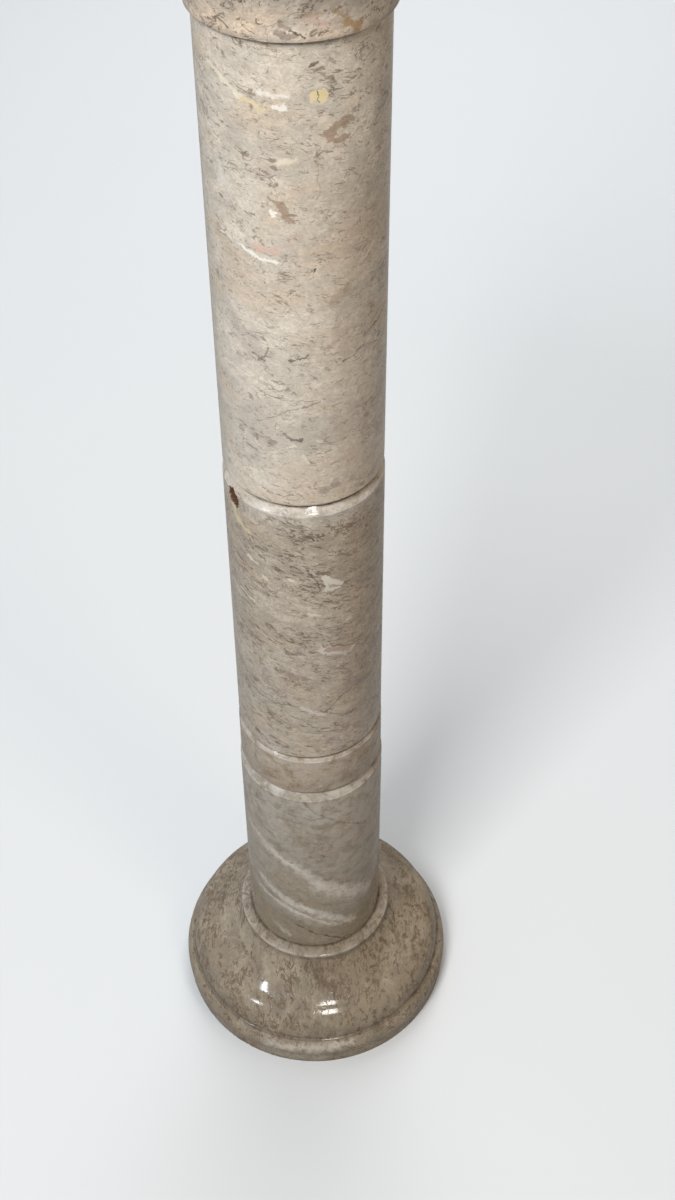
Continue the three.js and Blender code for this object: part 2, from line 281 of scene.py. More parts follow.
CAPITAL_MARKS = (
    ("ochre", 27, 990, 36, 984, 5.0, 0.5, 0.8),
    ("ochre", 20, 999, 27, 994, 3.0, 0.6, 0.6),
    ("pink", 10, 994, 16, 990, 6.0, 0.6, 0.55),
    ("dark", -1, 990, 5, 984, 1.5, 0.4, 0.85),
    ("plum", -7, 988, 1, 986, 3.4, 0.5, 0.7),
    ("plum", -6, 992, -1, 991, 2.4, 0.5, 0.6),
    ("olive", -56, 982, -50, 977, 2.6, 0.5, 0.7),
    ("dark", -28, 993, -24, 987, 0.6, 0.5, 0.6),
    ("dark", -24, 987, -20, 986, 0.6, 0.5, 0.6),
    ("ochre", 4, 996, 15, 997, 2.0, 0.6, 0.5),
)

# Colours of the marks. Marks are laid over one another in this order.
MARK_COLOURS = {
    "chalk": (0.84, 0.80, 0.74),
    "white": (0.66, 0.62, 0.56),
    "pale": (0.52, 0.48, 0.41),
    "cream": (0.74, 0.68, 0.54),
    "amber": (0.70, 0.58, 0.33),
    "ochre": (0.36, 0.22, 0.09),
    "olive": (0.27, 0.20, 0.12),
    "brown": (0.26, 0.17, 0.105),
    "rose": (0.33, 0.22, 0.18),
    "pink": (0.58, 0.40, 0.33),
    "plum": (0.22, 0.16, 0.135),
    "dark": (0.085, 0.056, 0.036),
    "pit": (0.02, 0.014, 0.01),
}


def colour_property(name, description, default):
    return FloatVectorProperty(
        name=name,
        description=description,
        default=default,
        size=3,
        min=0.0,
        max=1.0,
        subtype="COLOR",
    )


def length_property(name, description, millimetres):
    return FloatProperty(
        name=name,
        description=description,
        default=millimetres * MM,
        min=0.0,
        unit="LENGTH",
        precision=4,
    )


def power_property(name, description, watts):
    return FloatProperty(
        name=name,
        description=description,
        default=watts,
        min=0.0,
        unit="POWER",
    )


def angle_property(name, description, degrees):
    return FloatProperty(
        name=name,
        description=description,
        default=math.radians(degrees),
        subtype="ANGLE",
    )


class ColumnSizes(PropertyGroup):
    rim_taper: length_property("Rim Taper", "How far the rim draws in at the floor", 1.4)
    rim_side: length_property("Rim Side", "Height of the plain side of the rim", 20.2)
    band_width: length_property("Band Width", "Width of the rim's sloped band", 5.8)
    band_height: length_property("Band Height", "Height of the rim's sloped band", 10.8)
    band_bulge: length_property("Band Bulge", "How far the rim's sloped band bows out", 1)
    valley: length_property("Valley", "Radius of the valley between rim and dome", 2.2)
    dome_width: length_property("Dome Width", "Radial width of the dome", 19.1)
    dome_height: length_property("Dome Height", "Height of the dome", 27.4)
    dome_foot_pull: length_property("Dome Foot Pull", "How far the dome keeps upright at its foot", 21.7)
    shoulder_pull: length_property("Shoulder Pull", "How far the dome keeps its slope at the shoulder", 4.7)
    shoulder_slope: angle_property("Shoulder Slope", "Slope where the dome meets the cove", 31)
    cove_pull: length_property("Cove Pull", "How far the cove keeps its slope at each end", 9.6)
    cove_end_slope: angle_property("Cove End Slope", "Slope of the cove under the fillet", 62)
    cove_height: length_property("Cove Height", "Height of the cove", 27.9)
    fillet_projection: length_property("Fillet Projection", "How far the fillet stands proud", 9.7)
    fillet_undercut: length_property("Fillet Undercut", "How far the cove tucks in under the fillet", 1)
    fillet_height: length_property("Fillet Height", "Height of the fillet's upright edge", 8)
    ring_foot_groove: length_property("Lower Groove Width", "Width of the V-groove under the ring", 11.7)
    ring_foot_groove_depth: length_property("Lower Groove Depth", "Depth of the V-groove under the ring", 4.8)
    ring_head_groove: length_property("Ring Groove Width", "Width of the V-groove over the ring", 6.7)
    ring_head_groove_depth: length_property("Ring Groove Depth", "Depth of the V-groove over the ring", 2.8)
    upper_groove: length_property("Upper Groove Width", "Width of the V-groove under the upper drum", 10.5)
    upper_groove_depth: length_property("Upper Groove Depth", "Depth of the upper drum's V-groove", 4.4)
    lower_drum_taper: length_property("Lower Drum Taper", "How far the lower drum draws in", 0.3)
    ring_taper: length_property("Ring Taper", "How far the shaft ring draws in", 0.3)
    middle_drum_taper: length_property("Middle Drum Taper", "How far the middle drum draws in", 1.2)
    upper_drum_taper: length_property("Upper Drum Taper", "How far the upper drum draws in", 0.5)
    bed_joint: length_property("Bed Joint", "Gap between two stacked stones", 0.3)
    lip_round: length_property("Lip Round", "Radius of the worn rounding on each lip", 1.0)
    neck_height: length_property("Capital Neck", "Height of the capital's short neck", 4)
    flare_width: length_property("Flare Width", "Radial width of the capital's flare", 34)
    flare_height: length_property("Flare Height", "Height of the capital's flare", 56)
    capital_fillet: length_property("Capital Fillet", "Height of the fillet over the flare", 5)
    capital_step: length_property("Capital Step", "Step out from the flare to the fillet", 3)
    disc_projection: length_property("Disc Projection", "How far the disc stands out past its fillet", 11)
    disc_under: length_property("Disc Underside", "Height of the disc's rounded underside", 7)
    disc_round: length_property("Disc Round", "Radius of the disc's top edge", 5)
    nick_depth: length_property("Nick Depth", "Depth of the small nicks along the lips", 0.5)
    chip_width: length_property("Chip Width", "Width of the chip in the middle drum's lip", 12.5)
    chip_height: length_property("Chip Height", "Height of the chip in the middle drum's lip", 14)
    chip_depth: length_property("Chip Depth", "Depth of the chip in the middle drum's lip", 3.6)
    chip_drop: length_property("Chip Drop", "How far the chip's middle lies under the lip", 5.4)
    chip_azimuth: angle_property("Chip Azimuth", "Where the chip is, round from the front", -60.2)
    segments: IntProperty(
        name="Segments",
        description="Faces round each stone",
        default=320,
        min=32,
        max=720,
    )


class MarbleLook(PropertyGroup):
    base: colour_property("Base", "Mid tone of the base stone", (0.262, 0.217, 0.158))
    lower_drum: colour_property("Lower Drum", "Mid tone of the lower drum", (0.252, 0.212, 0.155))
    ring: colour_property("Ring", "Mid tone of the shaft ring", (0.290, 0.224, 0.148))
    middle_drum: colour_property("Middle Drum", "Mid tone of the middle drum", (0.455, 0.395, 0.315))
    upper_drum: colour_property("Upper Drum", "Mid tone of the upper drum", (0.63, 0.565, 0.475))
    capital: colour_property("Capital", "Mid tone of the capital", (0.69, 0.605, 0.505))
    fleck: colour_property("Fleck", "Colour of the dark fossil flecks", (0.112, 0.074, 0.045))
    shell: colour_property("Shell", "Colour of the pale shell bits", (0.62, 0.56, 0.47))
    broken: colour_property("Broken Stone", "Colour inside the chip", (0.085, 0.035, 0.018))
    # Pale colour of the worn lips, also painted on the up-facing bevels and the fillet top as a sheen of the
    # light from above.
    worn: colour_property("Worn Lip", "Colour of the worn lips", (0.57, 0.54, 0.50))
    # Painted shade: dark colour painted into the joints, the seams, the valley of the base and its bottom
    # edge, where shade falls.
    grime: colour_property("Grime", "Colour of the dirt in the joints", (0.035, 0.024, 0.016))
    roughness: FloatProperty(
        name="Roughness",
        description="Roughness of the polished face",
        default=0.09,
        min=0.02,
        max=1.0,
        subtype="FACTOR",
    )


class StudioLook(PropertyGroup):
    floor: colour_property("Floor", "Colour of the floor", (0.585, 0.60, 0.605))
    floor_bounce: colour_property("Floor Bounce", "Floor as the stones receive it", (0.26, 0.25, 0.235))
    sky_left: colour_property("Left Sky", "Soft light from the left", (0.37, 0.43, 0.50))
    sky_right: colour_property("Right Sky", "Soft light from the right", (0.235, 0.175, 0.115))
    sky_seen: colour_property("Seen Sky", "Sky behind the floor", (0.66, 0.68, 0.70))
    sky_strength: FloatProperty(
        name="Sky Strength",
        description="Strength of the soft light all round",
        default=1.0,
        min=0.0,
    )
    front_power: power_property("Front Power", "Broad soft light in front, at the left", 112.0)
    side_power: power_property("Side Power", "Soft light in front, at the right", 11.0)
    back_power: power_property("Back Power", "Soft light over the floor behind", 75.0)
    window_power: power_property("Window Power", "Small window light at the left", 7.0)
    lamp_power: power_property("Lamp Power", "Square lamp overhead", 21.0)
    lens: FloatProperty(
        name="Lens",
        description="Focal length of the camera in millimetres",
        default=46.833,
        min=1.0,
    )


def arc(centre_r, centre_z, width, height, start, end, steps, worn=0.0):
    """Profile points on part of an ellipse: radius, height, and the level of wear and painted sheen, painted
    shade where it is negative.
    """
    points = []
    for i in range(steps + 1):
        turn = math.radians(start + (end - start) * i / steps)
        points.append((centre_r + width * math.cos(turn), centre_z + height * math.sin(turn), worn))
    return points


def straight(start, end, steps, worn=0.0):
    """Profile points between two places, both ends left out."""
    points = []
    for i in range(1, steps):
        t = i / steps
        points.append((start[0] + (end[0] - start[0]) * t, start[1] + (end[1] - start[1]) * t, worn))
    return points


def bowed(start, end, bulge, steps):
    """Profile points on a slightly bowed line between two places."""
    run = Vector((end[0] - start[0], end[1] - start[1]))
    out = Vector((run.y, -run.x)).normalized()
    points = []
    for i in range(steps + 1):
        t = i / steps
        p = Vector(start[:2]) + run * t + out * (4 * bulge * t * (1 - t))
        points.append((p.x, p.y, 0.0))
    return points


def swept(start, start_slope, start_pull, end, end_slope, end_pull, steps):
    """Profile points on a smooth curve that keeps to a given slope at each end."""
    first = Vector(start) + start_pull * Vector((-math.cos(start_slope), math.sin(start_slope)))
    last = Vector(end) - end_pull * Vector((-math.cos(end_slope), math.sin(end_slope)))
    points = []
    for i in range(steps + 1):
        t = i / steps
        p = Vector(start) * (1 - t) ** 3 + first * (3 * t * (1 - t) ** 2)
        p = p + last * (3 * t * t * (1 - t)) + Vector(end) * t**3
        points.append((p.x, p.y, 0.0))
    return points


def rounded(before, corner, after, radius, steps=5, worn=1.0):
    """Profile points that round a corner between its two neighbours."""
    here = Vector(corner[:2])
    back = Vector(before[:2]) - here
    on = Vector(after[:2]) - here
    first = here + back.normalized() * min(radius, back.length * 0.48)
    last = here + on.normalized() * min(radius, on.length * 0.48)
    points = []
    for i in range(steps + 1):
        t = i / steps
        p = first * (1 - t) ** 2 + here * 2 * t * (1 - t) + last * t**2
        points.append((p.x, p.y, worn * (1 - abs(2 * t - 1) * 0.5)))
    return points


def softened(corners, radius):
    """Profile through corners given as radius, height, share of rounding, and the level of wear and painted
    sheen, painted shade where it is negative.
    """
    points = [(*corners[0][:2], 0.0)]
    for before, corner, after in zip(corners, corners[1:], corners[2:]):
        share, wear = corner[2:]
        if share:
            points += rounded(before, corner, after, radius * share, worn=wear)
        else:
            points.append((*corner[:2], wear))
    points.append((*corners[-1][:2], 0.0))
    return points


def along(profile):
    """Distance of each profile point along the profile, from the outer edge of the foot."""
    distances = [0.0]
    for a, b in zip(profile, profile[1:]):
        distances.append(distances[-1] + math.hypot(b[0] - a[0], b[1] - a[1]))
    return distances


def faces_between(low, high, segments):
    """Faces between two rings of points, where either may be one point on the axis."""
    faces = []
    for i in range(segments):
        j = (i + 1) % segments
        if len(low) == 1:
            faces.append((low[0], high[j], high[i]))
        elif len(high) == 1:
            faces.append((low[i], low[j], high[0]))
        else:
            faces.append((low[i], low[j], high[j], high[i]))
    return faces


def stone_mesh(name, verts, faces, layers):
    """Smooth mesh that carries its layers of values and keeps its sharp edges."""
    mesh = bpy.data.meshes.new(name)
    mesh.from_pydata(verts, [], faces)
    for title, values in layers.items():
        layer = mesh.attributes.new(title, "FLOAT", "POINT")
        layer.data.foreach_set("value", values)
    mesh.polygons.foreach_set("use_smooth", [True] * len(mesh.polygons))
    mesh.set_sharp_from_angle(angle=SHARP_EDGE)
    mesh.update()
    return mesh


def revolve(name, profile, places, segments, shape):
    """Stone of a profile turned about Z. Its points keep their wear and painted sheen, their painted shade
    and their place.
    """
    verts = []
    rings = []
    layers = {"worn": [], "grime": [], "place": [], "broken": []}
    for (radius, height, wear), where in zip(profile, places):
        on_axis = radius == 0.0
        rings.append([])
        for i in range(1 if on_axis else segments):
            turn = 2 * math.pi * i / segments
            reach, gone = (0.0, 0.0) if on_axis else shape(radius, height, wear, turn)
            rings[-1].append(len(verts))
            verts.append((reach * math.cos(turn), reach * math.sin(turn), height))
            layers["worn"].append(max(0.0, wear))
            layers["grime"].append(max(0.0, -wear))
            layers["place"].append(where)
            layers["broken"].append(gone)
    faces = []
    for low, high in zip(rings, rings[1:]):
        faces += faces_between(low, high, segments)
    piece = bpy.data.objects.new(name, stone_mesh(name, verts, faces, layers))
    bpy.context.scene.collection.objects.link(piece)
    return piece


def nicked(depth):
    """Shape function that breaks small nicks out of the worn lips."""

    def shape(radius, height, wear, turn):
        if wear < 0.05:
            return radius, 0.0
        spot = Vector((radius * math.cos(turn), radius * math.sin(turn), height))
        wave = noise.noise(spot * 90) * 0.5 + noise.noise(spot * 260) * 0.35
        nick = max(0.0, noise.noise(spot * 170 + Vector((7, 3, 1))) - 0.42) * 3.0
        return radius - depth * wear * (max(0.0, wave) * 0.5 + nick), 0.0

    return shape


def chipped(sizes, lip_radius, lip_height):
    """Shape function for the middle drum: nicks, and a chip broken out of the upper lip."""
    nicks = nicked(sizes.nick_depth)
    centre = sizes.chip_azimuth - math.pi / 2
    middle = lip_height - sizes.chip_drop

    def shape(radius, height, wear, turn):
        radius, _ = nicks(radius, height, wear, turn)
        swing = (turn - centre + math.pi) % (2 * math.pi) - math.pi
        u = swing * lip_radius / (sizes.chip_width / 2)
        v = (height - middle) / (sizes.chip_height / 2)
        if abs(u) > 1.6 or abs(v) > 1.6:
            return radius, 0.0
        spot = Vector((u, v, 0.0))
        ragged = 0.16 * noise.noise(spot * 3.1) + 0.08 * noise.noise(spot * 8.0)
        leant = u * 0.92 + v * 0.22
        reach = math.hypot(leant, v) + ragged
        if reach >= 1.0:
            return radius, 0.0
        floor = lip_radius - sizes.chip_depth * (1.0 - reach**3) * (1 + 0.25 * noise.noise(spot * 2.3))
        if floor >= radius:
            return radius, 0.0
        return floor, 1.0

    return shape


def foot_of(node):
    """Height of the underside of a solid."""
    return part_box(node)[0].z


def head_of(node):
    """Height of the top of a solid."""
    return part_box(node)[1].z


def radius_of(node):
    """Widest radius of a solid."""
    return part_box(node)[1].x


def groove_end(width, depth, lower_radius, upper_radius, joint):
    """Rise of each bevel of a groove, and radius of the joint face between the two."""
    return (width - joint) / 2, min(lower_radius, upper_radius) - depth


def shaft_grooves(sizes):
    """Bevels of the grooves under the ring, over the ring and under the upper drum."""
    joint = sizes.bed_joint
    lower = radius_of("lower_drum") - sizes.lower_drum_taper
    ring, middle, upper = (radius_of(node) for node in ("shaft_ring", "middle_drum", "upper_drum"))
    ring_head, middle_head = ring - sizes.ring_taper, middle - sizes.middle_drum_taper
    return (
        groove_end(sizes.ring_foot_groove, sizes.ring_foot_groove_depth, lower, ring, joint),
        groove_end(sizes.ring_head_groove, sizes.ring_head_groove_depth, ring_head, middle, joint),
        groove_end(sizes.upper_groove, sizes.upper_groove_depth, middle_head, upper, joint),
    )


def drum_foot(foot, radius, end):
    """Corners at the foot of a drum: a bevel, or the plain edge that stands on the base."""
    if not end:
        # Painted shade along the joint where the drum stands on the base.
        return [(radius, foot, 0.5, -1.0), (radius, foot + PLAIN_FOOT, 0.0, 0.0)]
    rise, joint_radius = end
    return [
        # Painted shade at the joint, fading out towards the bevel.
        (joint_radius, foot, 0.0, -1.0),
        (joint_radius + FOOT_SHADE_REACH, foot + FOOT_SHADE_REACH, 0.0, -0.4),
        (radius, foot + rise, 1.0, 0.5),
    ]


def drum_head(head, radius, end):
    """Corners at the head of a drum: a bevel, or the plain edge under the capital."""
    if not end:
        # Painted shade along the seam under the capital.
        return [(radius, head - PLAIN_HEAD, 0.0, 0.0), (radius, head, 1.2, -1.0)]
    rise, joint_radius = end
    return [
        # The up-facing bevel is painted pale: wear, and a painted sheen of the light from above. Painted
        # shade lies at the joint.
        (radius, head - rise, 1.0, 1.0),
        (joint_radius + HEAD_SHADE_REACH, head - HEAD_SHADE_REACH, 0.0, 0.8),
        (joint_radius, head, 0.0, -1.0),
    ]


def drum_profile(node, taper, foot_end, head_end, lip_round):
    """Drum with a bevel at each grooved end, drawn in by its taper. The joints carry painted shade and the
    up-facing bevels a painted sheen.
    """
    foot, head, radius = foot_of(node), head_of(node), radius_of(node)
    corners = [(0.0, foot, 0.0, 0.0)]
    corners += drum_foot(foot, radius, foot_end)
    corners += drum_head(head, radius - taper, head_end)
    corners.append((0.0, head, 0.0, 0.0))
    return softened(corners, lip_round)


def finer_above(profile, start):
    """Same profile with close points above a height, so that a chip can be broken out."""
    dense = []
    for a, b in zip(profile, profile[1:]):
        dense.append(a)
        length = math.hypot(b[0] - a[0], b[1] - a[1])
        if b[1] <= start or length < SHORTEST_CUT or min(a[0], b[0]) < CORE_RADIUS:
            continue
        low = a
        if a[1] < start:
            t = (start - a[1]) / (b[1] - a[1])
            low = (a[0] + (b[0] - a[0]) * t, start, 0.0)
            dense.append(low)
            length *= 1 - t
        steps = max(2, round(length / CHIP_STEP))
        for i in range(1, steps):
            t = i / steps
            dense.append(tuple(p + (q - p) * t for p, q in zip(low, b)))
    dense.append(profile[-1])
    return dense


def dome_and_cove(sizes, dome_outer, dome_foot, cove_inner, cove_top):
    """Dome that runs on through a sloped shoulder into the cove, both ends left out."""
    shoulder = (dome_outer - sizes.dome_width, dome_foot + sizes.dome_height)
    slope, end_slope = sizes.shoulder_slope, sizes.cove_end_slope
    dome = swept(
        (dome_outer, dome_foot), math.pi / 2, sizes.dome_foot_pull, shoulder, slope, sizes.shoulder_pull, 32
    )
    cove = swept(
        shoulder, slope, sizes.cove_pull, (cove_inner, cove_top), end_slope, sizes.cove_pull, 26
    )
    return dome[1:] + cove[1:-1]


def fillet_profile(below, lower_edge, upper_edge, shaft, seat):
    """Upright edge of the fillet and its sloped top, up to the foot of the shaft."""
    points = rounded(below, lower_edge, upper_edge, FILLET_FOOT_ROUND, worn=0.3)
    points += straight(points[-1], upper_edge, 3)
    # The sloped top is painted pale: wear, and a painted sheen of the light from above.
    points += rounded(lower_edge, upper_edge, (shaft, seat), FILLET_HEAD_ROUND, worn=0.5)
    # Painted shade where the shaft stands on the fillet.
    return points + [(shaft + SEAT_RUN, seat - SEAT_DROP, 0.0), (shaft + SEAT_EDGE, seat, -0.8)]


def base_profile(sizes):
    """Plain side, bowed band, valley, dome and cove, fillet and its sloped top."""
    rim, seat, shaft = radius_of("base"), head_of("base"), radius_of("lower_drum")
    band_inner = rim - sizes.band_width
    band_top = sizes.rim_side + sizes.band_height
    dome_outer = band_inner - sizes.valley
    dome_foot = band_top + sizes.valley
    cove_top = dome_foot + sizes.dome_height + sizes.cove_height
    fillet = shaft + sizes.fillet_projection
    cove_inner = fillet - sizes.fillet_undercut
    floor_edge = (rim - sizes.rim_taper, 0.0)
    rim_edge = (rim, sizes.rim_side)
    lower_edge = (fillet, cove_top + sizes.fillet_undercut)
    upper_edge = (fillet, cove_top + sizes.fillet_height)
    band = bowed(rim_edge, (band_inner, band_top), sizes.band_bulge, 12)
    points = [(0.0, 0.0, 0.0), (floor_edge[0] - UNDERSIDE_EDGE, 0.0, 0.0)]
    # Painted shade along the bottom edge where the base meets the floor.
    points += rounded((0.0, 0.0), floor_edge, rim_edge, FLOOR_ROUND, worn=-0.5)
    points += straight(points[-1], rim_edge, 6)
    points += rounded(floor_edge, rim_edge, band[2], RIM_ROUND, worn=0.15)
    points += band[2:-1]
    # Painted shade in the valley between the rim and the dome.
    points += arc(band_inner, dome_foot, sizes.valley, sizes.valley, 270, 180, 8, -0.45)
    points += dome_and_cove(sizes, dome_outer, dome_foot, cove_inner, cove_top)
    points += fillet_profile((cove_inner, cove_top), lower_edge, upper_edge, shaft, seat)
    return points + [(0.0, seat, 0.0)]


def capital_profile(sizes):
    """Short neck, flare, fillet and a disc with a rounded rim."""
    foot, top = foot_of("capital"), head_of("capital")
    disc = radius_of("capital")
    neck_top = foot + sizes.neck_height
    flare_top = neck_top + sizes.flare_height
    fillet_top = flare_top + sizes.capital_fillet
    disc_foot = fillet_top + sizes.disc_under
    fillet = disc - sizes.disc_projection
    flare_outer = fillet - sizes.capital_step
    neck = flare_outer - sizes.flare_width
    flare = arc(flare_outer, neck_top, sizes.flare_width, sizes.flare_height, 180, 90, 30)
    under = arc(fillet, disc_foot, disc - fillet, sizes.disc_under, 270, 360, 12)
    soft = sizes.disc_round
    edge = arc(disc - soft, top - soft, soft, soft, 0, 90, 10, 0.4)
    points = [(0.0, foot, 0.0)]
    # Painted shade along the seam at the foot of the capital.
    points += rounded((0.0, foot), (neck, foot), flare[0], NECK_ROUND, worn=-0.7)
    points += flare[:-1]
    points += rounded(flare[-2], (fillet, flare_top), (fillet, fillet_top), NECK_ROUND, worn=0.5)
    points += under
    points += edge
    return points + [(0.0, top, 0.0)]


class Wiring:
    """Short ways to add and join the nodes of one tree."""

    def __init__(self, tree):
        self.nodes = tree.nodes
        self.links = tree.links

    def feed(self, socket, value):
        if isinstance(value, bpy.types.NodeSocket):
            self.links.new(value, socket)
        elif value is not None:
            socket.default_value = value

    def add(self, kind, inputs=None, **settings):
        node = self.nodes.new(kind)
        for key, value in settings.items():
            setattr(node, key, value)
        for key, value in (inputs or {}).items():
            self.feed(node.inputs[key], value)
        return node

    def math(self, operation, a, b=None, clamp=False):
        node = self.add("ShaderNodeMath", operation=operation, use_clamp=clamp)
        self.feed(node.inputs[0], a)
        self.feed(node.inputs[1], b)
        return node.outputs[0]

    def vector(self, operation, a, b=None, scale=None):
        node = self.add("ShaderNodeVectorMath", operation=operation)
        self.feed(node.inputs[0], a)
        self.feed(node.inputs[1], b)
        self.feed(node.inputs[3], scale)
        return node.outputs["Value"] if operation in ("DISTANCE", "LENGTH") else node.outputs[0]

    def step(self, value, low, high, to_low=0.0, to_high=1.0):
        node = self.add("ShaderNodeMapRange", interpolation_type="SMOOTHSTEP")
        for index, item in enumerate((value, low, high, to_low, to_high)):
            self.feed(node.inputs[index], item)
        return node.outputs[0]

    def noise(self, vector, scale, detail=2.0, roughness=0.5, distortion=0.0):
        return self.add(
            "ShaderNodeTexNoise",
            {
                "Vector": vector,
                "Scale": scale,
                "Detail": detail,
                "Roughness": roughness,
                "Distortion": distortion,
            },
        )

    def mix(self, factor, a, b, blend="MIX"):
        node = self.add("ShaderNodeMix", data_type="RGBA", blend_type=blend)
        self.feed(node.inputs[0], factor)
        self.feed(node.inputs[6], a)
        self.feed(node.inputs[7], b)
        return node.outputs[2]

    def layer(self, name):
        return self.add("ShaderNodeAttribute", attribute_name=name).outputs["Fac"]

    def use(self, group, **inputs):
        node = self.add("ShaderNodeGroup", node_tree=group)
        for key, value in inputs.items():
            self.feed(node.inputs[key.replace("_", " ").title()], value)
        return node


def rgba(colour):
    return (colour[0], colour[1], colour[2], 1.0)


def shader_group(name, takes, gives):
    """Empty shader group with named sockets, its wiring, and its two ends."""
    tree = bpy.data.node_groups.new(name, "ShaderNodeTree")
    kinds = {"vector": "NodeSocketVector", "value": "NodeSocketFloat", "colour": "NodeSocketColor"}
    for title, kind, default in takes:
        socket = tree.interface.new_socket(title, in_out="INPUT", socket_type=kinds[kind])
        if default is not None:
            socket.default_value = default
    for title, kind in gives:
        tree.interface.new_socket(title, in_out="OUTPUT", socket_type=kinds[kind])
    wiring = Wiring(tree)
    start = wiring.add("NodeGroupInput").outputs
    end = wiring.add("NodeGroupOutput").inputs
    return tree, wiring, start, end


def clouds_group():
    """Soft clouds of tone, a warmer blush, a finer mottle and the grain of the stone."""
    tree, w, start, end = shader_group(
        "Marble Clouds",
        [("Position", "vector", None), ("Cloud Scale", "value", 26.0)],
        [("Clouds", "value"), ("Blush", "value"), ("Mottle", "value"), ("Grain", "value")],
    )
    clouds = w.noise(start["Position"], start["Cloud Scale"], 5.0, 0.62, 0.7).outputs[0]
    wide = w.math("MULTIPLY", start["Cloud Scale"], 0.6)
    shifted = w.vector("ADD", start["Position"], (3.1, 1.7, 0.4))
    blush = w.noise(shifted, wide, 4.0, 0.6, 0.5).outputs[0]
    mottle = w.noise(start["Position"], 105.0, 4.0, 0.66, 0.8).outputs[0]
    fine = w.noise(start["Position"], 480.0, 3.0, 0.7).outputs[0]
    w.feed(end["Clouds"], w.step(clouds, 0.34, 0.66))
    w.feed(end["Blush"], w.step(blush, 0.46, 0.66))
    w.feed(end["Mottle"], w.step(mottle, 0.36, 0.64))
    w.feed(end["Grain"], w.step(fine, 0.34, 0.66))
    return tree


def opening(w, share, most, reach):
    """Level that a noise has to pass, lower as the share grows."""
    return w.math("SUBTRACT", most, w.math("MULTIPLY", share, reach))


def ridges(w, noise, thin, wide):
    """Thin lines where a noise crosses its middle value."""
    return w.step(w.math("ABSOLUTE", w.math("SUBTRACT", noise, 0.5)), thin, wide, 1.0, 0.0)


def dashes(w, position, density, lift):
    """Short wandering dashes: ridges of one noise that another cuts into pieces."""
    worm = w.noise(w.vector("ADD", position, (2.7, 0.9, 1.1)), 84.0, 2.5, 0.55, 1.4).outputs[0]
    gate = w.noise(w.vector("ADD", position, (0.4, 3.3, 1.9)), 120.0, 2.0, 0.5, 0.6).outputs[0]
    low = opening(w, density, 0.66, 0.16)
    cut = w.step(w.math("ADD", gate, lift), low, w.math("ADD", low, 0.05))
    return w.math("MULTIPLY", ridges(w, worm, 0.016, 0.048), cut)


def grains(w, position, density, lift):
    """Small dark grains, the peaks of a fine noise."""
    fine = w.noise(w.vector("ADD", position, (4.7, 1.3, 0.7)), 205.0, 2.0, 0.6, 0.5).outputs[0]
    low = opening(w, density, 0.72, 0.1)
    return w.step(w.math("ADD", fine, lift), low, w.math("ADD", low, 0.07))


def threads(w, position, density):
    """Longer broken threads, as thin as hairs."""
    weave = w.noise(w.vector("ADD", position, (0.31, 0.17, 0.53)), 62.0, 4.0, 0.62, 1.6).outputs[0]
    pause = w.noise(w.vector("ADD", position, (1.3, 2.1, 0.2)), 58.0, 3.0, 0.6, 0.4).outputs[0]
    low = opening(w, density, 0.66, 0.16)
    run = w.step(pause, low, w.math("ADD", low, 0.06))
    return w.math("MULTIPLY", ridges(w, weave, 0.006, 0.024), run)


def shells(w, position, lift):
    """Pale shell bits and the dark rims round them."""
    bits = w.noise(w.vector("ADD", position, (5.3, 0.4, 2.2)), 115.0, 2.0, 0.55, 1.3).outputs[0]
    level = w.math("SUBTRACT", bits, w.math("MULTIPLY", lift, 0.4))
    inside = w.step(level, 0.645, 0.665)
    rims = w.math("MULTIPLY", w.step(level, 0.615, 0.635), w.math("SUBTRACT", 1.0, inside))
    return inside, rims


def flecks_group():
    """Short wandering dashes, dark grains, broken threads and pale shell bits."""
    tree, w, start, end = shader_group(
        "Fossil Flecks",
        [
            ("Position", "vector", None),
            ("Density", "value", 0.5),
            ("Thread Density", "value", 0.5),
            ("Size", "value", 1.0),
        ],
        [
            ("Dashes", "value"),
            ("Grains", "value"),
            ("Threads", "value"),
            ("Shells", "value"),
            ("Rims", "value"),
        ],
    )
    position = w.vector("SCALE", start["Position"], scale=start["Size"])
    cluster = w.noise(position, 27.0, 3.0, 0.6, 0.5).outputs[0]
    lift = w.math("MULTIPLY", w.math("SUBTRACT", cluster, 0.5), 0.6)
    inside, rims = shells(w, position, lift)
    w.feed(end["Dashes"], dashes(w, position, start["Density"], lift))
    w.feed(end["Grains"], grains(w, position, start["Density"], lift))
    w.feed(end["Threads"], threads(w, position, start["Thread Density"]))
    w.feed(end["Shells"], inside)
    w.feed(end["Rims"], rims)
    return tree


def cracks_group():
    """Hair cracks that wander and stop."""
    tree, w, start, end = shader_group(
        "Hair Cracks",
        [("Position", "vector", None), ("Spacing", "value", 20.0), ("Width", "value", 0.02)],
        [("Cracks", "value")],
    )
    bend = w.noise(start["Position"], 45.0, 4.0, 0.6)
    bent = w.vector("SCALE", w.vector("SUBTRACT", bend.outputs[1], (0.5, 0.5, 0.5)), scale=0.05)
    walls = w.add(
        "ShaderNodeTexVoronoi",
        {"Vector": w.vector("ADD", start["Position"], bent), "Scale": start["Spacing"]},
        feature="DISTANCE_TO_EDGE",
    )
    line = w.step(walls.outputs["Distance"], 0.0, start["Width"], 1.0, 0.0)
    gate = w.noise(w.vector("ADD", start["Position"], (0.9, 4.1, 2.6)), 24.0, 2.0, 0.5).outputs[0]
    w.feed(end["Cracks"], w.math("MULTIPLY", line, w.step(gate, 0.50, 0.60)))
    return tree


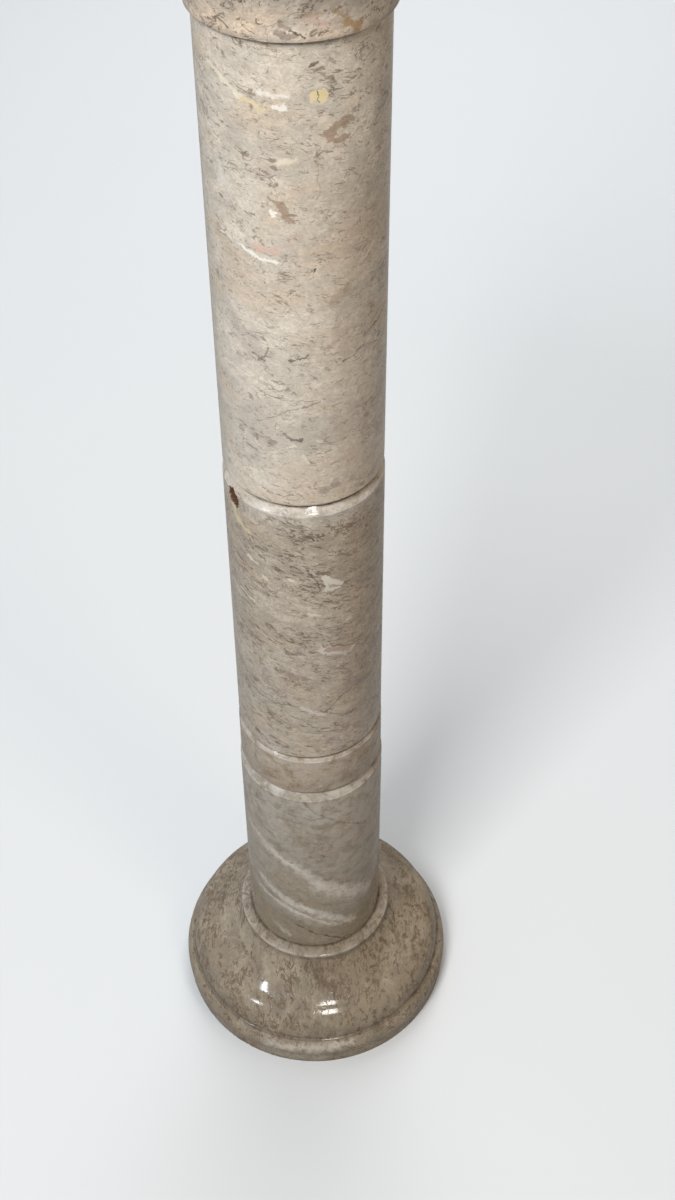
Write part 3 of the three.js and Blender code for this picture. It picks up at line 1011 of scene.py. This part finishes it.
def surface_group():
    """Place on the turned face as arc length and place along the profile, with ragged edges."""
    tree, w, start, end = shader_group(
        "Surface Place",
        [
            ("Position", "vector", None),
            ("Along", "value", 0.0),
            ("Raggedness", "value", 0.007),
            ("Fraying", "value", 0.002),
        ],
        [("Place", "vector"), ("Breakup", "value")],
    )
    parts = w.add("ShaderNodeSeparateXYZ", {"Vector": start["Position"]}).outputs
    turn = w.math("ARCTAN2", parts["X"], w.math("MULTIPLY", parts["Y"], -1.0))
    flat = w.vector("MULTIPLY", start["Position"], (1.0, 1.0, 0.0))
    run = w.math("MULTIPLY", turn, w.vector("LENGTH", flat))
    spot = w.add("ShaderNodeCombineXYZ", {"X": run, "Y": start["Along"]}).outputs[0]
    coarse = w.noise(start["Position"], 120.0, 2.0, 0.5).outputs[1]
    fine = w.noise(start["Position"], 480.0, 2.0, 0.6).outputs[1]
    for drift, amount in ((coarse, "Raggedness"), (fine, "Fraying")):
        centred = w.vector("SUBTRACT", drift, (0.5, 0.5, 0.5))
        spot = w.vector("ADD", spot, w.vector("SCALE", centred, scale=start[amount]))
    breakup = w.noise(start["Position"], 210.0, 3.0, 0.65, 0.6).outputs[0]
    w.feed(end["Place"], w.vector("MULTIPLY", spot, (1.0, 1.0, 0.0)))
    w.feed(end["Breakup"], w.step(breakup, 0.34, 0.62))
    return tree


def mark_group():
    """One mark in the stone: a straight stroke, wider and fainter where it breaks up."""
    tree, w, start, end = shader_group(
        "Stone Mark",
        [
            ("Place", "vector", None),
            ("Breakup", "value", 0.5),
            ("Start", "vector", None),
            ("Turn", "vector", None),
            ("Reach", "vector", None),
            ("Inner", "value", 0.0),
            ("Outer", "value", 0.001),
            ("Fading", "value", 0.4),
            ("Strength", "value", 1.0),
        ],
        [("Mark", "value")],
    )
    local = w.add(
        "ShaderNodeMapping",
        {"Vector": start["Place"], "Location": start["Start"], "Rotation": start["Turn"]},
        vector_type="TEXTURE",
    ).outputs[0]
    nearest = w.vector("MAXIMUM", w.vector("MINIMUM", local, start["Reach"]), (0.0, 0.0, 0.0))
    spread = w.step(start["Breakup"], 0.0, 1.0, 1.35, 0.8)
    distance = w.math("MULTIPLY", w.vector("DISTANCE", local, nearest), spread)
    body = w.step(distance, start["Inner"], start["Outer"], start["Strength"], 0.0)
    lost = w.math("MULTIPLY", w.math("SUBTRACT", 1.0, start["Breakup"]), start["Fading"])
    w.feed(end["Mark"], w.math("MULTIPLY", body, w.math("SUBTRACT", 1.0, lost)))
    return tree


def wear_sheen_shade_group():
    """Wear with a painted sheen along the lips, and painted shade in the joints and hollows, both broken up.
    """
    tree, w, start, end = shader_group(
        "Wear and Grime",
        [("Position", "vector", None), ("Wear", "value", 0.0), ("Dirt", "value", 0.0)],
        [("Worn", "value"), ("Grime", "value")],
    )
    patches = w.noise(start["Position"], 75.0, 4.0, 0.7, 0.4).outputs[0]
    level = w.math("MULTIPLY", start["Wear"], w.step(patches, 0.34, 0.60, 0.15, 1.0))
    shade_patches = w.noise(start["Position"], 90.0, 4.0, 0.7).outputs[0]
    dirt = w.math("MULTIPLY", start["Dirt"], w.step(shade_patches, 0.25, 0.60, 0.35, 1.0))
    w.feed(end["Worn"], level)
    w.feed(end["Grime"], dirt)
    return tree


def polish_group():
    """Roughness and relief of the polished face, duller on the worn and sheen-painted lips and in the pits.
    """
    tree, w, start, end = shader_group(
        "Polish",
        [
            ("Position", "vector", None),
            ("Smoothness", "value", 0.11),
            ("Pits", "value", 0.0),
            ("Worn", "value", 0.0),
            ("Broken", "value", 0.0),
        ],
        [("Roughness", "value"), ("Relief", "value")],
    )
    smears = w.noise(start["Position"], 34.0, 4.0, 0.7, 0.5).outputs[0]
    fine = w.noise(start["Position"], 420.0, 3.0, 0.6).outputs[0]
    swell = w.noise(start["Position"], 16.0, 1.0, 0.3).outputs[0]
    crumbs = w.noise(start["Position"], 700.0, 4.0, 0.7).outputs[0]
    rough = w.math("ADD", start["Smoothness"], w.step(smears, 0.35, 0.75, 0.0, 0.06))
    rough = w.math("ADD", rough, w.math("MULTIPLY", start["Pits"], 0.18))
    rough = w.math("ADD", rough, w.math("MULTIPLY", start["Worn"], 0.14))
    rough = w.math("ADD", rough, w.math("MULTIPLY", start["Broken"], 0.6), clamp=True)
    relief = w.math("ADD", w.math("MULTIPLY", swell, 0.15), w.math("MULTIPLY", fine, 0.03))
    relief = w.math("SUBTRACT", relief, w.math("MULTIPLY", start["Pits"], 0.10))
    relief = w.math("ADD", relief, w.math("MULTIPLY", w.math("MULTIPLY", crumbs, start["Broken"]), 2.0))
    w.feed(end["Roughness"], rough)
    w.feed(end["Relief"], relief)
    return tree


GROUP_MAKERS = {
    "Marble Clouds": clouds_group,
    "Fossil Flecks": flecks_group,
    "Hair Cracks": cracks_group,
    "Surface Place": surface_group,
    "Stone Mark": mark_group,
    "Wear and Grime": wear_sheen_shade_group,
    "Polish": polish_group,
}


def group(name):
    """The named shader group, made the first time that it is asked for."""
    return bpy.data.node_groups.get(name) or GROUP_MAKERS[name]()


# How each stone's marble differs from the next. Bedding gives the tilt of the beds in
# degrees about X and Y and how many times finer the stone is across them.
STONES = {
    "base": {
        "marks": BASE_MARKS,
        "bedding": (8, 82, 1.8),
        "cloud_scale": 30.0,
        "pale": 1.22,
        "deep": 0.80,
        "blush": (0.92, 0.89, 0.86),
        "flecks": 1.1,
        "threads": 1.1,
        "size": 0.72,
        "shells": 0.08,
        "mottle": 0.25,
        "grain": 0.25,
        "ink": 1.0,
        "cracks": 0.3,
    },
    "lower_drum": {
        "marks": LOWER_DRUM_MARKS,
        "bedding": (10, 28, 3.0),
        "cloud_scale": 24.0,
        "pale": 1.14,
        "deep": 0.86,
        "blush": (1.0, 0.93, 0.84),
        "flecks": 0.4,
        "threads": 0.35,
        "size": 0.75,
        "shells": 0.1,
        "mottle": 0.3,
        "grain": 0.35,
        "ink": 1.0,
        "cracks": 0.25,
    },
    "shaft_ring": {
        "marks": SHAFT_RING_MARKS,
        "bedding": (6, -8, 2.2),
        "cloud_scale": 34.0,
        "pale": 1.16,
        "deep": 0.82,
        "blush": (1.10, 0.92, 0.82),
        "flecks": 0.45,
        "threads": 0.5,
        "size": 0.8,
        "shells": 0.25,
        "mottle": 0.4,
        "grain": 0.35,
        "ink": 1.0,
        "cracks": 0.3,
    },
    "middle_drum": {
        "marks": MIDDLE_DRUM_MARKS,
        "bedding": (8, 14, 2.5),
        "cloud_scale": 24.0,
        "pale": 1.16,
        "deep": 0.84,
        "blush": (1.02, 0.93, 0.84),
        "flecks": 0.8,
        "threads": 1.0,
        "size": 0.78,
        "shells": 0.3,
        "mottle": 0.45,
        "grain": 0.4,
        "ink": 0.95,
        "cracks": 0.3,
    },
    "upper_drum": {
        "marks": UPPER_DRUM_MARKS,
        "bedding": (5, 10, 2.1),
        "cloud_scale": 26.0,
        "pale": 1.16,
        "deep": 0.82,
        "blush": (1.0, 0.90, 0.80),
        "flecks": 0.5,
        "threads": 0.7,
        "size": 0.82,
        "shells": 0.5,
        "mottle": 0.3,
        "grain": 0.35,
        "ink": 0.72,
        "cracks": 0.3,
    },
    "capital": {
        "marks": CAPITAL_MARKS,
        "bedding": (12, -20, 1.6),
        "cloud_scale": 34.0,
        "pale": 1.12,
        "deep": 0.78,
        "blush": (1.05, 0.93, 0.80),
        "flecks": 0.6,
        "threads": 0.8,
        "size": 0.9,
        "shells": 0.4,
        "mottle": 0.5,
        "grain": 0.4,
        "ink": 0.9,
        "cracks": 0.5,
    },
}


def shade(colour, factors):
    """Colour times one factor, or times one for each of red, green and blue."""
    if isinstance(factors, float):
        factors = (factors,) * 3
    return rgba([min(1.0, c * f) for c, f in zip(colour, factors)])


def radius_at(profile, places, where):
    """Radius of the turned face at a place along the profile."""
    best = min(
        (point for point in zip(places, profile) if point[1][0] > FACE_RADIUS),
        key=lambda point: (abs(point[0] - where), -point[1][0]),
    )
    return best[1][0]


def mark_end(turn, where, profile, places):
    """One end of a mark: arc length from the front, and place along the profile."""
    across = math.radians(turn) * radius_at(profile, places, where * MM)
    return Vector((across, where * MM, 0.0))


def lay_mark(w, surface, mark, profile, places):
    """Mask of one mark of the tables."""
    _, turn_a, where_a, turn_b, where_b, width, softness, strength = mark
    start = mark_end(turn_a, where_a, profile, places)
    run = mark_end(turn_b, where_b, profile, places) - start
    half = width * MM * 0.5
    return w.use(
        group("Stone Mark"),
        place=surface["Place"],
        breakup=surface["Breakup"],
        start=start,
        turn=(0.0, 0.0, math.atan2(run.y, run.x)),
        reach=(max(run.length, MARK_LEAST), 0.0, 0.0),
        inner=half * (1 - softness),
        outer=half * (1 + softness * 0.6) + MARK_LEAST,
        fading=min(0.45, softness * 0.6),
        strength=strength,
    ).outputs[0]


def add_marks(w, colour, surface, marks, profile, places):
    """Lays the marks of the table over the colour, tint by tint, and gives the new colour."""
    for tint, tint_colour in MARK_COLOURS.items():
        mask = None
        for mark in marks:
            if mark[0] != tint:
                continue
            laid = lay_mark(w, surface, mark, profile, places)
            mask = laid if mask is None else w.math("MAXIMUM", mask, laid)
        if mask is not None:
            colour = w.mix(mask, colour, rgba(tint_colour))
    return colour


def bedding(w, position, across, deep, finer):
    """Position turned to the beds of the stone and squeezed across them."""
    return w.add(
        "ShaderNodeMapping",
        {
            "Vector": position,
            "Rotation": (math.radians(across), math.radians(deep), 0.0),
            "Scale": (1.0, 1.0, 1.0 / finer),
        },
        vector_type="TEXTURE",
    ).outputs[0]


def ground(w, position, tone, stone):
    """Colour of the stone itself: clouds, blush, mottle and grain."""
    across, deep, _ = stone["bedding"]
    eased = bedding(w, position, across, deep, CLOUD_BEDDING)
    clouds = w.use(group("Marble Clouds"), position=eased, cloud_scale=stone["cloud_scale"]).outputs
    mottle = w.step(clouds["Mottle"], 0.0, 1.0, stone["mottle"], 0.0)
    grain = w.step(clouds["Grain"], 0.0, 1.0, stone["grain"], 0.0)
    colour = w.mix(clouds["Clouds"], shade(tone, stone["deep"]), shade(tone, stone["pale"]))
    colour = w.mix(w.math("MULTIPLY", clouds["Blush"], 0.8), colour, shade(tone, stone["blush"]))
    colour = w.mix(mottle, colour, shade(tone, MOTTLE_SHADE))
    return w.mix(grain, colour, shade(tone, GRAIN_SHADE))


def fossils(w, colour, flecks, cracks, look, stone):
    """Lays shells, cracks, threads, grains and dashes over the colour of the stone."""
    layers = (
        (flecks["Rims"], stone["shells"], look.fleck),
        (flecks["Shells"], stone["shells"], look.shell),
        (cracks, stone["cracks"], look.fleck),
        (flecks["Threads"], 0.8 * stone["ink"], look.fleck),
        (flecks["Grains"], 0.6 * stone["ink"], look.fleck),
        (flecks["Dashes"], 0.85 * stone["ink"], look.fleck),
    )
    for mask, strength, tint in layers:
        colour = w.mix(w.math("MULTIPLY", mask, strength), colour, rgba(tint))
    return colour


def paint_wear_sheen_shade(w, colour, wear_sheen_shade, broken, look):
    """Lays the pale wear with its painted sheen, the painted shade and the dark stone inside the chip over
    the colour.
    """
    colour = w.mix(w.math("MULTIPLY", wear_sheen_shade["Worn"], 0.8), colour, rgba(look.worn))
    colour = w.mix(w.math("MULTIPLY", wear_sheen_shade["Grime"], 0.85), colour, rgba(look.grime))
    return w.mix(broken, colour, rgba(look.broken))


def set_polish(w, shader, position, roughness, pits, worn, broken):
    """Gives the shader the roughness and fine relief of the polished face."""
    polish = w.use(
        group("Polish"),
        position=position,
        smoothness=roughness,
        pits=pits,
        worn=worn,
        broken=broken,
    ).outputs
    bump = w.add(
        "ShaderNodeBump",
        {"Strength": 1.0, "Distance": RELIEF_HEIGHT, "Height": polish["Relief"]},
    )
    w.feed(shader.inputs["Roughness"], polish["Roughness"])
    w.feed(shader.inputs["Normal"], bump.outputs[0])
    shader.inputs["IOR"].default_value = MARBLE_IOR


def marble(name, tone, look, profile, places):
    """Polished fossil marble for one stone."""
    stone = STONES[name]
    material = bpy.data.materials.new(name.replace("_", " ").title() + " Marble")
    material.use_nodes = True
    w = Wiring(material.node_tree)
    shader = material.node_tree.nodes["Principled BSDF"]
    position = w.add("ShaderNodeTexCoord").outputs["Object"]
    wear, dirt = w.layer("worn"), w.layer("grime")
    where, broken = w.layer("place"), w.layer("broken")
    bedded = bedding(w, position, *stone["bedding"])
    flecks = w.use(
        group("Fossil Flecks"),
        position=bedded,
        density=stone["flecks"],
        thread_density=stone["threads"],
        size=stone["size"],
    ).outputs
    cracks = w.use(group("Hair Cracks"), position=bedded, spacing=17.0, width=0.012).outputs
    surface = w.use(group("Surface Place"), position=position, along=where).outputs
    # Wear with a painted sheen, and painted shade in the joints and hollows.
    wear_sheen_shade = w.use(group("Wear and Grime"), position=position, wear=wear, dirt=dirt).outputs
    colour = ground(w, position, tone, stone)
    colour = fossils(w, colour, flecks, cracks["Cracks"], look, stone)
    colour = add_marks(w, colour, surface, stone["marks"], profile, places)
    w.feed(shader.inputs["Base Color"], paint_wear_sheen_shade(w, colour, wear_sheen_shade, broken, look))
    set_polish(w, shader, position, look.roughness, flecks["Dashes"], wear_sheen_shade["Worn"], broken)
    return material


def set_stone(node, profile, places, tone, look, sizes, shape):
    """Revolves one stone, paints it and puts it in the place of its solid."""
    piece = revolve(node + "_stone", profile, places, sizes.segments, shape)
    piece.data.materials.append(marble(node, tone, look, profile, places))
    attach(piece, BODY)
    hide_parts(node)


class COLUMN_OT_base(Operator):
    """Build the moulded base"""

    bl_idname = "column.base"
    bl_label = "Base"

    def execute(self, context):
        sizes, look = context.scene.column_sizes, context.scene.marble_look
        profile = base_profile(sizes)
        distances = along(profile)
        edge = distances[1]
        places = [d - edge for d in distances]
        set_stone("base", profile, places, look.base, look, sizes, nicked(sizes.nick_depth))
        return {"FINISHED"}


class COLUMN_OT_shaft(Operator):
    """Build the three drums and the narrow ring of the shaft"""

    bl_idname = "column.shaft"
    bl_label = "Shaft"

    def execute(self, context):
        sizes, look = context.scene.column_sizes, context.scene.marble_look
        under_ring, over_ring, under_upper = shaft_grooves(sizes)
        nicks = nicked(sizes.nick_depth)
        lip_height = head_of("middle_drum") - under_upper[0]
        chip = chipped(sizes, radius_of("middle_drum") - sizes.middle_drum_taper, lip_height)
        drums = (
            ("lower_drum", sizes.lower_drum_taper, None, under_ring, look.lower_drum, nicks),
            ("shaft_ring", sizes.ring_taper, under_ring, over_ring, look.ring, nicks),
            ("middle_drum", sizes.middle_drum_taper, over_ring, under_upper, look.middle_drum, chip),
            ("upper_drum", sizes.upper_drum_taper, under_upper, None, look.upper_drum, nicks),
        )
        for node, taper, foot_end, head_end, tone, shape in drums:
            profile = drum_profile(node, taper, foot_end, head_end, sizes.lip_round)
            if shape is chip:
                profile = finer_above(profile, lip_height - CHIP_REACH)
            places = [z for _, z, _ in profile]
            set_stone(node, profile, places, tone, look, sizes, shape)
        return {"FINISHED"}


class COLUMN_OT_capital(Operator):
    """Build the flared capital with its flat top"""

    bl_idname = "column.capital"
    bl_label = "Capital"

    def execute(self, context):
        sizes, look = context.scene.column_sizes, context.scene.marble_look
        profile = capital_profile(sizes)
        places = [z for _, z, _ in profile]
        set_stone("capital", profile, places, look.capital, look, sizes, nicked(sizes.nick_depth))
        return {"FINISHED"}


def floor_mesh(half, cells):
    """Square floor, a grid of faces."""
    verts = []
    faces = []
    for j in range(cells + 1):
        for i in range(cells + 1):
            verts.append((half * (2 * i / cells - 1), half * (2 * j / cells - 1), 0.0))
    for j in range(cells):
        for i in range(cells):
            a = j * (cells + 1) + i
            faces.append((a, a + 1, a + cells + 2, a + cells + 1))
    mesh = bpy.data.meshes.new("floor")
    mesh.from_pydata(verts, [], faces)
    return mesh


def floor_material(look):
    """Plain matt floor. The stones receive a darker one than the camera sees."""
    material = bpy.data.materials.new("Plain Floor")
    material.use_nodes = True
    w = Wiring(material.node_tree)
    shader = material.node_tree.nodes["Principled BSDF"]
    position = w.add("ShaderNodeTexCoord").outputs["Object"]
    tone = w.noise(position, 3.0, 3.0, 0.5).outputs[0]
    seen = w.mix(tone, rgba([c * 0.985 for c in look.floor]), rgba(look.floor))
    direct = w.add("ShaderNodeLightPath").outputs["Is Camera Ray"]
    w.feed(shader.inputs["Base Color"], w.mix(direct, rgba(look.floor_bounce), seen))
    shader.inputs["Roughness"].default_value = 0.7
    return material


def soft_sky(look):
    """Soft light all round, cooler at the left than at the right."""
    world = bpy.data.worlds.new("Soft Sky")
    world.use_nodes = True
    w = Wiring(world.node_tree)
    background = world.node_tree.nodes["Background"]
    direction = w.add("ShaderNodeTexCoord").outputs["Generated"]
    sideways = w.add("ShaderNodeSeparateXYZ", {"Vector": direction}).outputs["X"]
    turn = w.step(sideways, -0.7, 0.9)
    soft = w.mix(turn, rgba(look.sky_left), rgba(look.sky_right))
    seen = w.add("ShaderNodeLightPath").outputs["Is Camera Ray"]
    w.feed(background.inputs["Color"], w.mix(seen, soft, rgba(look.sky_seen)))
    background.inputs["Strength"].default_value = look.sky_strength
    return world


def area_light(name, place, target, width, height, power, colour, mirrored):
    """Rectangular soft light that looks at a point, or one that only the polish mirrors."""
    data = bpy.data.lights.new(name, "AREA")
    data.shape = "RECTANGLE"
    data.size, data.size_y = width, height
    data.energy = power
    data.color = colour
    light = bpy.data.objects.new(name, data)
    light.location = place
    light.rotation_euler = (Vector(target) - Vector(place)).to_track_quat("-Z", "Y").to_euler()
    light.visible_glossy = mirrored
    light.visible_diffuse = not mirrored
    bpy.context.scene.collection.objects.link(light)


def photo_camera(lens):
    """Camera at the photograph's viewing angle: raised, looking steeply down."""
    pitch, yaw, roll = CAMERA_PITCH, CAMERA_YAW, CAMERA_ROLL
    forward = Vector(
        (math.sin(yaw) * math.cos(pitch), math.cos(yaw) * math.cos(pitch), -math.sin(pitch))
    )
    level = Vector((math.cos(yaw), -math.sin(yaw), 0.0))
    up = level.cross(forward)
    right = math.cos(roll) * level + math.sin(roll) * up
    above = -math.sin(roll) * level + math.cos(roll) * up
    data = bpy.data.cameras.new("camera")
    data.lens = lens
    data.sensor_width = SENSOR_WIDTH
    camera = bpy.data.objects.new("camera", data)
    turn = Matrix((right, above, -forward)).transposed()
    camera.matrix_world = Matrix.Translation(CAMERA_PLACE) @ turn.to_4x4()
    bpy.context.scene.collection.objects.link(camera)
    bpy.context.scene.camera = camera


class COLUMN_OT_studio(Operator):
    """Set the floor, the soft lights and the camera"""

    bl_idname = "column.studio"
    bl_label = "Studio"

    def execute(self, context):
        look = context.scene.studio_look
        floor = bpy.data.objects.new("floor", floor_mesh(FLOOR_HALF, FLOOR_CELLS))
        floor.data.materials.append(floor_material(look))
        context.scene.collection.objects.link(floor)
        context.scene.world = soft_sky(look)
        for name, place, target, width, height, colour, mirrored in LIGHTS:
            power = getattr(look, name + "_power")
            area_light(name, place, target, width, height, power, colour, mirrored)
        photo_camera(look.lens)
        context.scene.view_settings.view_transform = "Standard"
        return {"FINISHED"}


class COLUMN_PT_panel(Panel):
    """Steps that build the column, in order"""

    bl_idname = "COLUMN_PT_panel"
    bl_label = "Marble Column"
    bl_space_type = "VIEW_3D"
    bl_region_type = "UI"
    bl_category = "Column"

    def draw(self, context):
        layout, scene = self.layout, context.scene
        for operator in OPERATORS:
            layout.operator(operator.bl_idname)
        for settings in (scene.column_sizes, scene.marble_look, scene.studio_look):
            box = layout.box()
            for name in settings.bl_rna.properties.keys():
                if name not in ("rna_type", "name"):
                    box.prop(settings, name)


OPERATORS = (COLUMN_OT_base, COLUMN_OT_shaft, COLUMN_OT_capital, COLUMN_OT_studio)
CLASSES = (ColumnSizes, MarbleLook, StudioLook) + OPERATORS + (COLUMN_PT_panel,)


def register():
    for cls in CLASSES:
        bpy.utils.register_class(cls)
    bpy.types.Scene.column_sizes = PointerProperty(type=ColumnSizes)
    bpy.types.Scene.marble_look = PointerProperty(type=MarbleLook)
    bpy.types.Scene.studio_look = PointerProperty(type=StudioLook)


def unregister():
    del bpy.types.Scene.studio_look
    del bpy.types.Scene.marble_look
    del bpy.types.Scene.column_sizes
    for cls in reversed(CLASSES):
        bpy.utils.unregister_class(cls)


def main():
    register()
    bpy.ops.column.base()
    bpy.ops.column.shaft()
    bpy.ops.column.capital()
    bpy.ops.column.studio()


if __name__ == "__main__":
    main()
